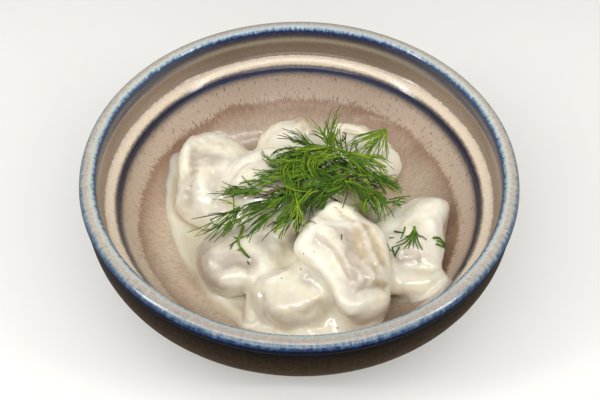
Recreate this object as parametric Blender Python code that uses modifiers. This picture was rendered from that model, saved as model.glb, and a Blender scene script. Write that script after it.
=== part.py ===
"""A stoneware bowl of pelmeni in sour cream with dill on top.

Metres, +Z up. The origin is the centre of the foot ring, on the surface that the bowl stands on.
Lengths are written in millimetres and turned into metres by mm().
"""
import math
import random

import bmesh
import bpy
from mathutils import Vector
from mathutils.bvhtree import BVHTree

rim_radius = 81.85      # middle of the rolled rim, from the axis
rim_height = 60.0       # middle of the rolled rim, above the table
rim_roll = 3.15         # radius of the rolled rim's section
turn_steps = 54         # facets round the bowl
gap = 0.3               # clearance between neighbouring solids
bed = 1.3               # least depth of cream between a pelmen and the bowl
cream_level = 15.5      # surface of the sour cream, above the table
room_top = 55.0         # height that no pelmen reaches
above_all = 120.0       # height that nothing reaches


def mm(*values):
    """Millimetres to metres: one number, or a vector of three."""
    scaled = [value * 0.001 for value in values]
    return scaled[0] if len(scaled) == 1 else Vector(scaled)


# ---- scene and mesh helpers ----

def clear_scene():
    for obj in list(bpy.data.objects):
        bpy.data.objects.remove(obj, do_unlink=True)


def new_collection(name, hidden=False):
    collection = bpy.data.collections.new(name)
    bpy.context.scene.collection.children.link(collection)
    collection.hide_render = hidden
    return collection


def new_material(name, color, roughness):
    material = bpy.data.materials.new(name)
    material.use_nodes = True
    shader = material.node_tree.nodes["Principled BSDF"]
    shader.inputs["Base Color"].default_value = (*color, 1.0)
    shader.inputs["Roughness"].default_value = roughness
    shader.inputs["Metallic"].default_value = 0.0
    return material


def new_object(name, mesh, collection, material=None):
    obj = bpy.data.objects.new(name, mesh)
    collection.objects.link(obj)
    if material:
        mesh.materials.append(material)
    if collection.hide_render:
        obj.hide_render = True
        obj.display_type = "WIRE"
    return obj


def mesh_from(bm, name):
    mesh = bpy.data.meshes.new(name)
    bmesh.ops.recalc_face_normals(bm, faces=bm.faces)
    bm.to_mesh(mesh)
    bm.free()
    return mesh


def apply_modifiers(obj):
    """Put the object's evaluated mesh in place of its own."""
    graph = bpy.context.evaluated_depsgraph_get()
    made = bpy.data.meshes.new_from_object(obj.evaluated_get(graph))
    obj.modifiers.clear()
    obj.data = made


def combine(obj, others, operation, solver="EXACT"):
    """Join the objects of a collection to this one, cut them from it, or keep what they share."""
    boolean = obj.modifiers.new(operation.lower(), "BOOLEAN")
    boolean.operation = operation
    boolean.operand_type = "COLLECTION"
    boolean.collection = others
    boolean.solver = solver
    apply_modifiers(obj)


def keep_largest_body(obj):
    """Drop the loose scraps that a cut leaves."""
    bm = bmesh.new()
    bm.from_mesh(obj.data)
    unseen, bodies = set(bm.verts), []
    while unseen:
        body, edge = set(), [unseen.pop()]
        while edge:
            corner = edge.pop()
            body.add(corner)
            near = {link.other_vert(corner) for link in corner.link_edges} & unseen
            unseen -= near
            edge.extend(near)
        bodies.append(body)
    bodies.sort(key=len)
    bmesh.ops.delete(bm, geom=[corner for body in bodies[:-1] for corner in body], context="VERTS")
    bm.to_mesh(obj.data)
    bm.free()


def grown_copy(name, mesh, amount, collection):
    """The same solid with its skin moved out along its normals, to cut neighbours with a clearance."""
    bm = bmesh.new()
    bm.from_mesh(mesh)
    bm.normal_update()
    for corner in bm.verts:
        corner.co += corner.normal * mm(amount)
    bm.to_mesh(mesh)
    bm.free()
    return new_object(name + "_grown", mesh, collection)


# ---- bowl ----

# (radius, height) along the inside from the middle of the floor, and down the outside
inner_wall = [(0.0, 8.5), (18.0, 8.9), (34.0, 10.3), (46.0, 13.0), (55.0, 17.1), (62.0, 23.0),
              (67.2, 30.2), (70.8, 36.5), (72.6, 41.3), (73.3, 43.3), (74.6, 45.1), (76.4, 46.8),
              (78.0, 47.9), (79.1, 50.2), (79.4, 56.6)]
outer_wall = [(83.9, 56.4), (84.5, 52.8), (85.0, 48.5), (84.4, 43.2), (81.2, 36.6), (75.4, 29.3),
              (67.6, 21.9), (58.6, 14.8), (49.4, 8.8)]
foot_ring = [(46.6, 4.0), (45.6, 0.4), (45.0, 0.0), (41.2, 0.0), (40.4, 0.6), (39.2, 3.4), (0.0, 3.4)]
rim_turns = (205, 160, 125, 90, 55, 20, -15, -42)


def bowl_outline():
    """Half the bowl's section: up the inside, over the rolled rim and down the outside to the foot."""
    rim = [(rim_radius + rim_roll * math.cos(math.radians(turn)),
            rim_height + rim_roll * math.sin(math.radians(turn))) for turn in rim_turns]
    return inner_wall + rim + outer_wall + foot_ring


def turned(name, outline, collection, material=None):
    """A solid of revolution about Z; the outline runs down its outer side."""
    bm = bmesh.new()
    corners = [bm.verts.new(mm(radius, 0, height)) for radius, height in outline]
    for first, second in zip(corners, corners[1:]):
        bm.edges.new((first, second))
    mesh = bpy.data.meshes.new(name)
    bm.to_mesh(mesh)
    bm.free()
    obj = new_object(name, mesh, collection, material)
    screw = obj.modifiers.new("turn", "SCREW")
    screw.axis = "Z"
    screw.angle = math.tau
    screw.steps = turn_steps
    screw.render_steps = turn_steps
    screw.use_merge_vertices = True
    screw.merge_threshold = 0.00002
    apply_modifiers(obj)
    return obj


def room_in_bowl(name, clearance, top, collection, material=None):
    """The space inside the bowl up to a height, kept off its wall, as a solid."""
    wall = []
    for index, (radius, height) in enumerate(inner_wall):
        before = Vector(inner_wall[max(index - 1, 0)])
        after = Vector(inner_wall[min(index + 1, len(inner_wall) - 1)])
        along = (after - before).normalized()
        wall.append((max(radius - clearance * along.y, 0.0), height + clearance * along.x))
    wall[0] = (0.0, inner_wall[0][1] + clearance)
    below = [point for point in wall if point[1] < top]
    low, high = below[-1], wall[len(below)]
    share = (top - low[1]) / (high[1] - low[1])
    edge = (low[0] + share * (high[0] - low[0]), top)
    return turned(name, [(0.0, top), edge] + below[::-1], collection, material)


# ---- pelmeni ----

# center of the widest section; reach from it in twelve directions, 30 degrees apart from +X round to +Y;
# rise above it and drop below; slope of the section along X and Y;
# ridges (x0, y0, x1, y1, height, width) and dents (x, y, depth, width) on the top, from the center
pelmeni = {
    "pelmen_front_left": dict(
        center=(-25.3, -21.4, 21.0), rise=10.5, drop=10.0, slope=(0.0, 0.0),
        reach=(20.8, 19.0, 16.3, 15.0, 16.0, 17.6, 17.3, 17.0, 17.4, 16.8, 14.0, 18.0),
        ridges=[(-10, -8, 2, -12, 1.4, 4.5)], dents=[(3, -3, 2.8, 5.0)]),
    "pelmen_front": dict(
        center=(-3.0, -42.0, 21.0), rise=11.0, drop=9.0, slope=(0.0, 0.0),
        reach=(14.6, 13.6, 12.5, 12.5, 13.0, 15.0, 15.6, 13.4, 12.4, 12.0, 13.0, 14.0),
        ridges=[], dents=[]),
    "pelmen_right": dict(
        center=(49.0, -19.0, 26.0), rise=9.5, drop=11.0, slope=(0.26, 0.05),
        reach=(11.6, 14.5, 25.5, 22.0, 18.0, 15.5, 14.5, 16.0, 21.5, 26.5, 18.5, 13.4),
        ridges=[(8, 18, -4, 2, 1.6, 5.0)], dents=[(0, -9, 2.8, 4.5)]),
    "pelmen_left": dict(
        center=(-38.8, 19.3, 25.0), rise=12.0, drop=11.0, slope=(-0.10, 0.03),
        reach=(16.5, 18.8, 22.5, 24.0, 21.5, 16.5, 14.3, 16.5, 22.8, 25.0, 20.6, 16.5),
        ridges=[(-10, 18, -12, -2, 3.2, 4.0)], dents=[(-3, 6, 1.8, 4.5)]),
    "pelmen_back": dict(
        center=(-4.0, 37.5, 24.5), rise=12.0, drop=10.5, slope=(0.0, -0.04),
        reach=(16.4, 16.0, 14.6, 13.2, 13.8, 15.0, 15.8, 16.4, 15.8, 15.0, 15.0, 15.5),
        ridges=[(6, 6, 8, 13, 2.4, 3.5)], dents=[]),
    "pelmen_back_right": dict(
        center=(26.0, 35.5, 23.0), rise=10.5, drop=9.5, slope=(0.0, 0.02),
        reach=(18.5, 15.5, 14.5, 15.5, 18.0, 19.6, 16.1, 14.5, 13.9, 14.4, 18.1, 22.3),
        ridges=[(-10, 8, 3, 9, 2.4, 3.5)], dents=[]),
    "pelmen_middle": dict(
        center=(-9.3, 6.0, 31.0), rise=12.0, drop=11.0, slope=(0.0, 0.0),
        reach=(19.0, 20.0, 20.5, 19.9, 20.8, 22.7, 23.5, 20.2, 18.1, 21.0, 21.5, 18.9),
        ridges=[(-17, 4, -2, 14, 2.2, 3.5)], dents=[]),
    "pelmen_top": dict(
        center=(19.3, -29.3, 33.0), rise=12.0, drop=12.5, slope=(-0.02, 0.22),
        reach=(16.6, 17.2, 18.5, 21.5, 23.5, 21.8, 19.3, 14.6, 14.8, 24.0, 26.0, 18.8),
        ridges=[(-16, 9, -5, -5, 4.0, 4.5), (-5, -5, 1, -20, 3.0, 4.5)],
        dents=[(-5, 9, 3.5, 5.0), (4, -3, 2.0, 5.0)]),
}
dough_sides = 20
dough_rings = 12
plumpness = 2.35        # 2 is an ellipse in section, more is fuller


def reach_at(angle, reach):
    """Radius of the outline in a direction, rounded off between the given ones."""
    place = angle / math.tau * len(reach)
    index = math.floor(place)
    share = place - index
    share = share * share * (3 - 2 * share)
    return (1 - share) * reach[index % len(reach)] + share * reach[(index + 1) % len(reach)]


def ridge_distance(place, ridge):
    start, end = Vector(ridge[0:2]), Vector(ridge[2:4])
    run = end - start
    share = max(0.0, min(1.0, (place - start).dot(run) / run.length_squared))
    return (place - start - share * run).length


def dough_point(direction, shape):
    """Where a direction from the middle meets the skin of a plump, uneven pelmen."""
    level = math.hypot(direction.x, direction.y)
    plump = (level ** plumpness + abs(direction.z) ** plumpness) ** (-1 / plumpness)
    reach = reach_at(math.atan2(direction.y, direction.x), shape["reach"])
    plan = Vector((direction.x, direction.y)) * plump * reach
    height = direction.z * plump * (shape["rise"] if direction.z > 0 else shape["drop"])
    relief = sum(ridge[4] * math.exp(-(ridge_distance(plan, ridge) / ridge[5]) ** 2)
                 for ridge in shape["ridges"])
    relief -= sum(dent[2] * math.exp(-((plan - Vector(dent[0:2])).length / dent[3]) ** 2)
                  for dent in shape["dents"])
    upward = max(0.0, min(1.0, direction.z * 2.0 + 0.3))
    height += plan.dot(Vector(shape["slope"])) + relief * upward
    return Vector(shape["center"]) + Vector((plan.x, plan.y, height))


def make_pelmen(name, shape, parts, material):
    bm = bmesh.new()
    bmesh.ops.create_uvsphere(bm, u_segments=dough_sides, v_segments=dough_rings, radius=1.0)
    for corner in bm.verts:
        corner.co = mm(*dough_point(corner.co, shape))
    return new_object(name, mesh_from(bm, name), parts, material)


def make_pelmeni(parts, cutters, material):
    """Every pelmen is kept off the bowl, and off the ones below it."""
    room = new_collection("room", hidden=True)
    room_in_bowl("pelmen_room", bed, room_top, room)
    made = []
    for name, shape in pelmeni.items():
        pelmen = make_pelmen(name, shape, parts, material)
        whole = pelmen.data.copy()
        combine(pelmen, room, "INTERSECT")
        if made:
            combine(pelmen, cutters, "DIFFERENCE")
        keep_largest_body(pelmen)
        pelmen.data.shade_smooth()
        grown_copy(name, whole, gap, cutters)
        made.append(pelmen)
    return made


# ---- sour cream ----

def make_cream(parts, cutters, material):
    cream = room_in_bowl("sour_cream", gap, cream_level, parts, material)
    combine(cream, cutters, "DIFFERENCE")
    keep_largest_body(cream)
    return cream


# ---- dill ----

thread_radius = 0.5
stem_radius = 0.75
lie_height = thread_radius + gap + 0.5      # middle of a thread above the food that it lies on
dill_mound = dict(
    center=(4.5, 2.5, 44.0), rise=6.0, drop=8.0, slope=(-0.05, 0.0),
    reach=(26.0, 19.0, 12.5, 11.0, 12.0, 17.0, 22.0, 19.0, 13.0, 11.0, 12.0, 18.0), ridges=[], dents=[])

# fronds of the heap: where the stem starts, where it ends, how many threads it bears, and their length
fronds = [
    ((0, -4, 48), (-37, -17, 33), 8, 13),
    ((-6, -6, 47), (-31, -22, 34), 6, 12),
    ((-8, -8, 46), (-19, -24, 35), 5, 11),
    ((-4, -1, 48), (-29, 1, 39), 7, 9),
    ((-3, 1, 48), (-17, 9, 43), 5, 9),
    ((4, 4, 49), (-10, 23, 43), 6, 9),
    ((9, 6, 49), (16, 41, 44), 9, 9),
    ((7, 6, 49), (9, 33, 44), 5, 9),
    ((19, 8, 47), (33, 30, 44), 7, 10),
    ((19, 15, 45), (37, 17, 37), 3, 8),
    ((19, 1, 47), (38, 3, 41), 8, 8),
    ((21, -2, 46), (42, -1, 40), 4, 6),
    ((16, -5, 47), (27, -13, 41), 5, 7),
    ((20, -5, 46), (34, -8, 38), 4, 7),
    ((2, -8, 47), (-11, -23, 38), 6, 9),
    ((5, -8, 48), (-1, -23, 43), 3, 8),
]

# loose bits: threads from a shared root to their tips, as (x, y) on the food below
dill_bits = {
    "dill_bit_fan": ((45.5, -15.5), [(38.0, -19.5), (40.5, -22.0), (43.0, -23.0), (46.5, -23.5),
                                     (49.5, -21.5), (51.5, -18.5), (39.0, -12.5)]),
    "dill_bit_edge": ((51.0, -20.5), [(57.0, -23.0), (55.0, -20.0), (55.0, -24.0)]),
    "dill_bit_fork": ((-25.5, -20.5), [(-23.0, -13.0), (-19.0, -27.5), (-29.5, -24.5), (-28.5, -19.0)]),
}


def height_of_food(x, y, surfaces):
    """Top of whatever lies under a point."""
    heights = [inner_wall[0][1]]
    for surface in surfaces:
        hit = surface.ray_cast(mm(x, y, above_all), Vector((0, 0, -1)))[0]
        if hit:
            heights.append(hit.z * 1000)
    return max(heights)


def thread_object(name, path, radii, collection):
    """A closed thread along a path, with its own radius at each point."""
    curve = bpy.data.curves.new(name, "CURVE")
    curve.dimensions = "3D"
    curve.bevel_depth = mm(1)
    curve.bevel_resolution = 0
    curve.use_fill_caps = True
    spline = curve.splines.new("POLY")
    spline.points.add(len(path) - 1)
    for point, place, radius in zip(spline.points, path, radii):
        point.co = (*mm(*place), 1.0)
        point.radius = radius
    wire = new_object(name + "_line", curve, collection)
    graph = bpy.context.evaluated_depsgraph_get()
    bm = bmesh.new()
    bm.from_mesh(wire.evaluated_get(graph).to_mesh())
    bmesh.ops.remove_doubles(bm, verts=bm.verts, dist=mm(0.01))
    bpy.data.objects.remove(wire, do_unlink=True)
    return new_object(name, mesh_from(bm, name), collection)


def laid_path(start, end, bow, steps, surfaces):
    """Points from start to end that bow sideways and stay above the food."""
    across = Vector((start.y - end.y, end.x - start.x, 0)).normalized()
    path = []
    for step in range(steps + 1):
        share = step / steps
        place = start.lerp(end, share) + across * bow * math.sin(math.pi * share)
        place.z = max(place.z, height_of_food(place.x, place.y, surfaces) + lie_height)
        path.append(place)
    return path


def make_frond(name, frond, surfaces, rng, collection):
    """A stem with threads to both sides, all kept above the food."""
    start, end, threads, length = Vector(frond[0]), Vector(frond[1]), frond[2], frond[3]
    steps = 4
    stem = laid_path(start, end, rng.uniform(-2, 2), steps, surfaces)
    radii = [stem_radius * (1 - 0.14 * step) for step in range(steps + 1)]
    thread_object(name, stem, radii, collection)
    heading = math.atan2(end.y - start.y, end.x - start.x)
    for index in range(threads):
        share = 0.2 + 0.78 * index / (threads - 1)
        side = 1 if index % 2 else -1
        low = min(int(share * steps), steps - 1)
        root = stem[low].lerp(stem[low + 1], share * steps - low)
        angle = heading + side * rng.uniform(0.35, 0.8) * (1.25 - 0.9 * share)
        reach = length * rng.uniform(0.75, 1.1)
        tip = root + Vector((math.cos(angle) * reach, math.sin(angle) * reach, rng.uniform(-4, 1.5)))
        bends = 2 if length > 10 else 1
        path = [root] + laid_path(root, tip, rng.uniform(-1.2, 1.2), bends, surfaces)[1:]
        radii = [thread_radius] * bends + [thread_radius * 0.6]
        thread_object(name + "_thread", path, radii, collection)


def fuse(core, threads, cutters):
    """Join the threads to their core, and trim off what would reach into the food."""
    combine(core, threads, "UNION", solver="MANIFOLD")
    combine(core, cutters, "DIFFERENCE", solver="MANIFOLD")
    keep_largest_body(core)
    for obj in list(threads.objects):
        bpy.data.objects.remove(obj, do_unlink=True)


def make_dill_heap(parts, surfaces, cutters, material):
    rng = random.Random(11)
    bm = bmesh.new()
    bmesh.ops.create_uvsphere(bm, u_segments=16, v_segments=8, radius=1.0)
    for corner in bm.verts:
        corner.co = mm(*dough_point(corner.co, dill_mound)) * rng.uniform(0.995, 1.005)
    heap = new_object("dill", mesh_from(bm, "dill"), parts, material)
    threads = new_collection("dill_threads", hidden=True)
    for index, frond in enumerate(fronds):
        make_frond("frond_" + str(index), frond, surfaces, rng, threads)
    fuse(heap, threads, cutters)


def make_dill_bit(name, bit, parts, surfaces, cutters, material):
    """A few threads from one root, lying on a pelmen."""
    root, tips = bit
    threads = new_collection(name + "_threads", hidden=True)
    start = Vector((*root, height_of_food(*root, surfaces) + lie_height))
    for tip in tips:
        end = Vector((*tip, height_of_food(*tip, surfaces) + lie_height))
        path = laid_path(start, end, 0.4, 2, surfaces)
        path[0] = start + (start - path[1]).normalized() * 0.5
        radii = [stem_radius, thread_radius * 1.1, thread_radius * 0.6]
        thread_object(name + "_thread", path, radii, threads)
    first = threads.objects[0]
    heap = new_object(name, first.data.copy(), parts, material)
    bpy.data.objects.remove(first, do_unlink=True)
    fuse(heap, threads, cutters)


def main():
    clear_scene()
    parts = new_collection("bowl_of_pelmeni")
    cutters = new_collection("cutters", hidden=True)
    glaze = new_material("stoneware_glaze", (0.38, 0.29, 0.21), 0.25)
    dough = new_material("creamed_dough", (0.83, 0.78, 0.66), 0.35)
    cream = new_material("sour_cream", (0.88, 0.85, 0.76), 0.3)
    green = new_material("dill_green", (0.12, 0.30, 0.05), 0.5)
    bowl = turned("bowl", bowl_outline(), parts, glaze)
    bowl.data.shade_smooth()
    made = make_pelmeni(parts, cutters, dough)
    make_cream(parts, cutters, cream)
    graph = bpy.context.evaluated_depsgraph_get()
    surfaces = [BVHTree.FromObject(pelmen, graph) for pelmen in made]
    make_dill_heap(parts, surfaces, cutters, green)
    for name, bit in dill_bits.items():
        make_dill_bit(name, bit, parts, surfaces, cutters, green)


main()
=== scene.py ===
import math
import random

import bmesh
import bpy
import numpy as np
from mathutils import Matrix, Vector, noise
from mathutils.bvhtree import BVHTree
from mathutils.kdtree import KDTree


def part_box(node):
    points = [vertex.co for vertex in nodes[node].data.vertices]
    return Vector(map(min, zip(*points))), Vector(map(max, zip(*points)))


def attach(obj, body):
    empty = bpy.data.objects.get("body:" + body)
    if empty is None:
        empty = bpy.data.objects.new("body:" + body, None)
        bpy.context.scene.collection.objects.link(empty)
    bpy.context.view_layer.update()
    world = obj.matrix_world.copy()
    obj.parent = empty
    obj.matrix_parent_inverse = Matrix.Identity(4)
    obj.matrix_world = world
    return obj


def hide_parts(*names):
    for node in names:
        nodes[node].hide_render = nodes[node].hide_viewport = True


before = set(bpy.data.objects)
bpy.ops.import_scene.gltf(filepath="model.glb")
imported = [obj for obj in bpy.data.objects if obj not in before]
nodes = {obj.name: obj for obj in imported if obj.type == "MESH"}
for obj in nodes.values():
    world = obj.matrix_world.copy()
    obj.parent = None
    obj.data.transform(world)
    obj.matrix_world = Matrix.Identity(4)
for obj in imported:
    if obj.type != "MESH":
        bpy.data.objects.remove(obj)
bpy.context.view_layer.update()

print("frame loaded:", len(nodes), "nodes")


# lengths are in millimetres until a mesh is made
def mm(value):
    return value * 0.001


def readMesh(items, key, width, kind=float):
    values = np.empty(len(items) * width, kind)
    items.foreach_get(key, values)
    return values.reshape(-1, width)


def meshPoints(mesh):
    return readMesh(mesh.vertices, "co", 3) * 1000


def setMeshPoints(mesh, points):
    mesh.vertices.foreach_set("co", (points * 0.001).ravel())
    mesh.update()


def meshEdges(mesh):
    return readMesh(mesh.edges, "vertices", 2, int)


def pointNormals(mesh):
    return readMesh(mesh.vertex_normals, "vector", 3, np.float32).astype(float)


def neighbourMean(values, edges):
    a, b = edges.T
    count = np.bincount(a, minlength=len(values)) + np.bincount(b, minlength=len(values))
    columns = []
    for column in values.T:
        total = np.bincount(a, column[b], len(values)) + np.bincount(b, column[a], len(values))
        columns.append(total / np.maximum(count, 1))
    return np.stack(columns, 1)


def smoothStep(low, high, values):
    share = np.clip((values - low) / (high - low), 0, 1)
    return share * share * (3 - 2 * share)


def softNoise(points, size, seed):
    # smooth noise from -1 to 1, one value for each point
    shift = Vector((seed * 17.3, seed * 5.1, seed * 9.7))
    return np.array([noise.noise(Vector(point) / size + shift) for point in points])


def setAttribute(mesh, name, values):
    layer = mesh.attributes.new(name, "FLOAT", "POINT")
    layer.data.foreach_set("value", np.asarray(values, np.float32))


def meshFromBmesh(bm, name):
    mesh = bpy.data.meshes.new(name)
    bm.to_mesh(mesh)
    bm.free()
    return mesh


def finishedMesh(obj):
    # the object's mesh with its modifiers applied; the object goes
    graph = bpy.context.evaluated_depsgraph_get()
    mesh = bpy.data.meshes.new_from_object(obj.evaluated_get(graph))
    bpy.data.objects.remove(obj, do_unlink=True)
    return mesh


def looseObject(name, data):
    obj = bpy.data.objects.new(name, data)
    bpy.context.scene.collection.objects.link(obj)
    return obj


def roundCurve(name, roundness):
    # its points' radii are in millimetres
    curve = bpy.data.curves.new(name, "CURVE")
    curve.dimensions = "3D"
    curve.bevel_depth = mm(1)
    curve.bevel_resolution = roundness
    curve.use_fill_caps = True
    return curve


def remeshed(mesh, voxel):
    obj = looseObject("remeshing", mesh)
    modifier = obj.modifiers.new("voxels", "REMESH")
    modifier.mode = "VOXEL"
    modifier.voxel_size = mm(voxel)
    modifier.adaptivity = 0
    return finishedMesh(obj)


def meshSkin(mesh):
    return BVHTree.FromPolygons([corner.co.copy() for corner in mesh.vertices],
                                [tuple(face.vertices) for face in mesh.polygons])


def joinedMesh(name, meshes):
    bm = bmesh.new()
    for mesh in meshes:
        bm.from_mesh(mesh)
    return meshFromBmesh(bm, name)


def addPiece(name, mesh, material, replaced):
    mesh.materials.append(material)
    mesh.shade_smooth()
    piece = looseObject(name, mesh)
    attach(piece, "root")
    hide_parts(replaced)
    print(name, len(mesh.polygons), "faces")
    return piece


def srgb(red, green, blue):
    # a colour as a screen shows it, 0 to 255, in linear light
    light = []
    for value in (red / 255, green / 255, blue / 255):
        light.append(value / 12.92 if value <= 0.04045 else ((value + 0.055) / 1.055) ** 2.4)
    return (*light, 1)


class Value:
    # what a node gives, so that a formula in a material reads as a formula
    def __init__(self, look, socket):
        self.look = look
        self.socket = socket

    def __rsub__(self, other):
        return self.look.math("SUBTRACT", other, self)

    def __abs__(self):
        return self.look.math("ABSOLUTE", self)

    def scaled(self, factor, added):
        return self.look.math("MULTIPLY_ADD", self, factor, added)

    def centred(self, size):
        # noise from 0 to 1, brought round 0
        return (self - 0.5) * size

    def step(self, low, high):
        # 0 up to low, 1 from high on, smooth between
        return self.look.put("MapRange", {"Value": self, "From Min": low, "From Max": high},
                             interpolation_type="SMOOTHSTEP")

    def within(self, startLow, startHigh, endLow, endHigh):
        return self.step(startLow, startHigh) * (1 - self.step(endLow, endHigh))

    def near(self, middle, inner, outer):
        return 1 - abs(self - middle).step(inner, outer)

    def ramp(self, stops):
        # stops are (position, colour or grey)
        ramp = self.look.put("ValToRGB", {0: self})
        elements = ramp.socket.node.color_ramp.elements
        while len(elements) > 1:
            elements.remove(elements[-1])
        for index, (position, color) in enumerate(stops):
            element = elements.new(position) if index else elements[0]
            element.position = position
            element.color = color if isinstance(color, tuple) else (color, color, color, 1)
        return ramp


for sign, operation in (("add", "ADD"), ("sub", "SUBTRACT"), ("mul", "MULTIPLY"), ("truediv", "DIVIDE"),
                        ("gt", "GREATER_THAN"), ("lt", "LESS_THAN")):
    setattr(Value, f"__{sign}__", lambda one, other, how=operation: one.look.math(how, one, other))


class Look:
    # a material in the making
    def __init__(self, name):
        self.material = bpy.data.materials.new(name)
        self.material.use_nodes = True
        self.tree = self.material.node_tree
        self.place = self.put("TexCoord", {}, "Object")

    def plug(self, value, socket):
        if isinstance(value, Value):
            self.tree.links.new(value.socket, socket)
        else:
            socket.default_value = value

    def put(self, kind, inputs, output=0, **settings):
        node = self.tree.nodes.new("ShaderNode" + kind)
        for key, value in settings.items():
            setattr(node, key, value)
        for key, value in inputs.items():
            self.plug(value, node.inputs[key])
        return Value(self, node.outputs[output])

    def math(self, operation, first, second=0, third=0):
        return self.put("Math", {0: first, 1: second, 2: third}, operation=operation)

    def vector(self, operation, first, second=(0, 0, 0), output=0):
        return self.put("VectorMath", {0: first, 1: second}, output, operation=operation)

    def attribute(self, name):
        return self.put("Attribute", {}, "Fac", attribute_name=name)

    def noise(self, scale, detail=2, rough=0.5, at=None):
        return self.put("TexNoise", {"Vector": at or self.place, "Scale": scale, "Detail": detail,
                                     "Roughness": rough})

    def mix(self, share, first, second, blend="MIX"):
        # 6 and 7 are the node's two colours, and 2 is the colour it gives
        return self.put("Mix", {0: share, 6: first, 7: second}, 2, data_type="RGBA", blend_type=blend)

    def multiply(self, share, color, by):
        return self.mix(share, color, self.mix(1, color, by, "MULTIPLY"))

    def finish(self, inputs, bump=None):
        # bump is the height, its strength and its depth in metres
        if bump:
            height, strength, depth = bump
            inputs["Normal"] = self.put("Bump", {"Height": height, "Strength": strength, "Distance": depth})
        for key, value in inputs.items():
            self.plug(value, self.tree.nodes["Principled BSDF"].inputs[key])
        return self.material


camera = {
    "place": (0, -0.19057, 0.26515),
    "tiltDown": 50.53,      # degrees below level
    "turn": -0.09,
    "roll": 0.87,
    "lens": 42.69,
}


def makeCamera():
    data = bpy.data.cameras.new("camera")
    data.lens = camera["lens"]
    data.sensor_width = 36
    obj = looseObject("camera", data)
    tilt = Matrix.Rotation(math.radians(90 - camera["tiltDown"]), 4, "X")
    turn = Matrix.Rotation(math.radians(camera["turn"]), 4, "Z")
    roll = Matrix.Rotation(math.radians(camera["roll"]), 4, "Z")
    obj.matrix_world = Matrix.Translation(camera["place"]) @ turn @ tilt @ roll
    bpy.context.scene.camera = obj


studio = {
    "floorSize": 3,
    "world": 0.46,
    # name: place, size, watts; every lamp looks at the bowl
    "lamps": {
        "lampLeftEnd": ((-0.62, -0.25, 0.55), (0.10, 0.35), 1.9),
        "lampRightEnd": ((0.62, -0.25, 0.55), (0.10, 0.35), 1.5),
        "lampBackNear": ((0, -0.34, 0.75), (1.2, 0.032), 2),
        "lampBackFar": ((0, -0.18, 0.78), (1.2, 0.032), 1.8),
        "lampFront": ((0, -0.66, 0.41), (0.9, 0.05), 1.1),
    },
}


def makeStudio():
    bm = bmesh.new()
    bmesh.ops.create_grid(bm, x_segments=1, y_segments=1, size=studio["floorSize"])
    mesh = meshFromBmesh(bm, "floor")
    mesh.materials.append(Look("paleFloor").finish({"Base Color": srgb(238, 237, 234), "Roughness": 0.8}))
    floor = looseObject("floor", mesh)
    world = bpy.data.worlds.new("studio")
    world.use_nodes = True
    background = world.node_tree.nodes["Background"]
    background.inputs["Color"].default_value = srgb(250, 248, 244)
    background.inputs["Strength"].default_value = studio["world"]
    bpy.context.scene.world = world
    for name, (place, size, watts) in studio["lamps"].items():
        data = bpy.data.lights.new(name, "AREA")
        data.shape = "RECTANGLE"
        data.size, data.size_y = size
        data.energy = watts
        lamp = looseObject(name, data)
        aim = (Vector((0, 0, 0.03)) - Vector(place)).to_track_quat("-Z", "Y")
        lamp.matrix_world = Matrix.Translation(place) @ aim.to_matrix().to_4x4()
    bpy.context.scene.view_settings.view_transform = "Standard"


bowl = {
    # (radius, height) in thousandths of the width; from the floor's middle outwards
    "inside": [(0, 8.5), (18, 8.9), (34, 10.3), (46, 13), (55, 17.1), (62, 23), (67.2, 30.2), (70.8, 36.5),
               (72.6, 41.3), (73.3, 43.3), (74.6, 45.1), (76.4, 46.8), (78, 47.9), (79.1, 50.2),
                (79.4, 56.6)],
    "rimMiddle": (81.85, 60),
    "rimRadius": 3.15,
    "outside": [(83.9, 56.4), (84.5, 52.8), (85, 48.5), (84.4, 43.2), (81.2, 36.6), (75.4, 29.3),
                (67.6, 21.9), (58.6, 14.8), (49.4, 8.8), (46.6, 4), (45.6, 0.4), (45, 0), (41.2, 0),
                (40.4, 0.6), (39.2, 3.4), (0, 3.4)],
    "turns": 256,
}
bowlLow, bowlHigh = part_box("bowl")
bowlUnit = (bowlHigh.x - bowlLow.x) / 170 * 1000      # 1 when the bowl is 170 wide


def throughPoints(points, perSpan):
    # a smooth line through the points
    line = []
    for index in range(len(points) - 1):
        before = np.array(points[max(index - 1, 0)], float)
        start, end = np.array(points[index], float), np.array(points[index + 1], float)
        after = np.array(points[min(index + 2, len(points) - 1)], float)
        length = np.linalg.norm(end - start)
        leave = (end - before) / max(np.linalg.norm(end - before), 1e-6) * length
        arrive = (after - start) / max(np.linalg.norm(after - start), 1e-6) * length
        for part in range(perSpan):
            t = part / perSpan
            line.append((2 * t**3 - 3 * t**2 + 1) * start + (t**3 - 2 * t**2 + t) * leave
                        + (3 * t**2 - 2 * t**3) * end + (t**3 - t**2) * arrive)
    line.append(np.array(points[-1], float))
    return line


def bowlLine():
    rim = [(bowl["rimMiddle"][0] + bowl["rimRadius"] * math.cos(math.radians(turn)),
            bowl["rimMiddle"][1] + bowl["rimRadius"] * math.sin(math.radians(turn)))
           for turn in range(200, -46, -12)]
    inside = throughPoints(bowl["inside"], 8)
    outside = throughPoints(bowl["outside"], 6)
    line = np.array(inside + rim + outside) * bowlUnit
    line[0, 0] = line[-1, 0] = 0
    return line


bowlOutline = bowlLine()
alongOutline = np.r_[0, np.cumsum(np.hypot(*np.diff(bowlOutline, axis=0).T))]
wallCount = len(bowl["inside"]) * 8 - 10


def bowlHeight(radius):
    # height of the bowl's inside at a distance from the middle
    wall = bowlOutline[:wallCount]
    return np.interp(radius, wall[:, 0], wall[:, 1])


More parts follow.
